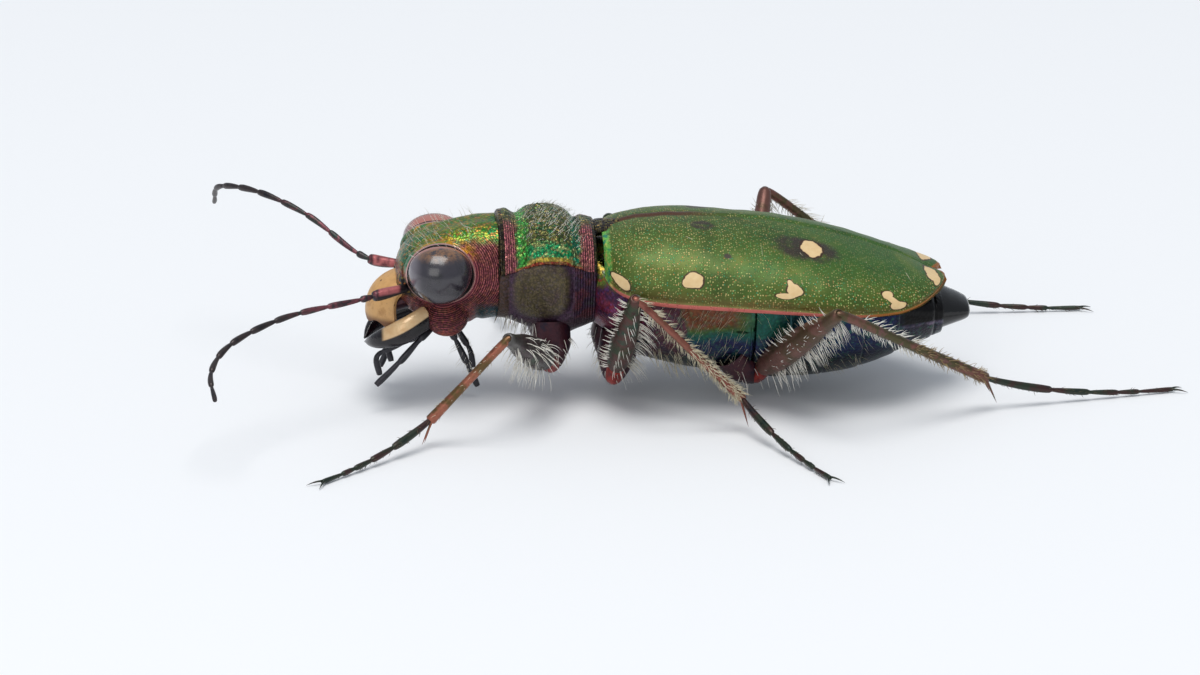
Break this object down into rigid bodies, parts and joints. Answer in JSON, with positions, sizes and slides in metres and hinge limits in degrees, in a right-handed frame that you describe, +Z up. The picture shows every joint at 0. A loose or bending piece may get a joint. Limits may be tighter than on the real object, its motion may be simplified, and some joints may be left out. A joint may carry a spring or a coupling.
{
  "type": "tiger beetle",
  "caption": "Still life-size green tiger beetle standing on six long legs, with big eyes, sickle jaws, spotted wing covers and jointed feelers.",
  "frame": {"origin": "on the floor, under the middle of the whole animal's box", "axes": "+X along the body from head to tail, +Y to the animal's right, +Z up"},
  "size_m": [0.024, 0.0168, 0.0047],
  "materials": {
    "elytra": "metallic green with fine gold and teal pits and cream spots",
    "head": "metallic green and coppery pink, finely wrinkled",
    "pronotum": "metallic green and copper, wrinkled",
    "thorax_side": "metallic purple brown with green and copper streaks",
    "belly": "metallic teal, blue and violet",
    "tail_tip": "glossy black",
    "eye": "glossy dark grey",
    "labrum": "smooth tan horn",
    "mandible": "glossy black with a cream base",
    "palps": "dark green black, smooth",
    "antenna": "dark brown, its base metallic pink and green",
    "coxa": "metallic purple brown",
    "trochanter": "smooth dark red",
    "femur": "metallic brown, pink and green",
    "tibia": "metallic copper",
    "tarsus": "dark metallic green"
  },
  "bodies": {
    "root": {"abdomen": "belly", "antenna_left_base": "antenna", "antenna_left_scape": "antenna", "antenna_left_tip": "antenna", "antenna_right_base": "antenna", "antenna_right_scape": "antenna", "antenna_right_tip": "antenna", "coxa_front_left": "coxa", "coxa_front_right": "coxa", "coxa_hind_left": "coxa", "coxa_hind_right": "coxa", "coxa_middle_left": "coxa", "coxa_middle_right": "coxa", "elytron_left": "elytra", "elytron_right": "elytra", "eye_left": "eye", "eye_right": "eye", "femur_front_left": "femur", "femur_front_right": "femur", "femur_hind_left": "femur", "femur_hind_right": "femur", "femur_middle_left": "femur", "femur_middle_right": "femur", "head": "head", "labial_palp_left": "palps", "labial_palp_right": "palps", "labrum": "labrum", "mandible_left": "mandible", "mandible_right": "mandible", "maxilla_left": "palps", "maxilla_right": "palps", "mesothorax": "thorax_side", "metathorax": "belly", "pronotum": "pronotum", "prosternum": "thorax_side", "pygidium": "tail_tip", "scutellum": "pronotum", "tarsus_front_left": "tarsus", "tarsus_front_right": "tarsus", "tarsus_hind_left": "tarsus", "tarsus_hind_right": "tarsus", "tarsus_middle_left": "tarsus", "tarsus_middle_right": "tarsus", "tibia_front_left": "tibia", "tibia_front_right": "tibia", "tibia_hind_left": "tibia", "tibia_hind_right": "tibia", "tibia_middle_left": "tibia", "tibia_middle_right": "tibia", "trochanter_front_left": "trochanter", "trochanter_front_right": "trochanter", "trochanter_hind_left": "trochanter", "trochanter_hind_right": "trochanter", "trochanter_middle_left": "trochanter", "trochanter_middle_right": "trochanter"}
  },
  "joints": []
}
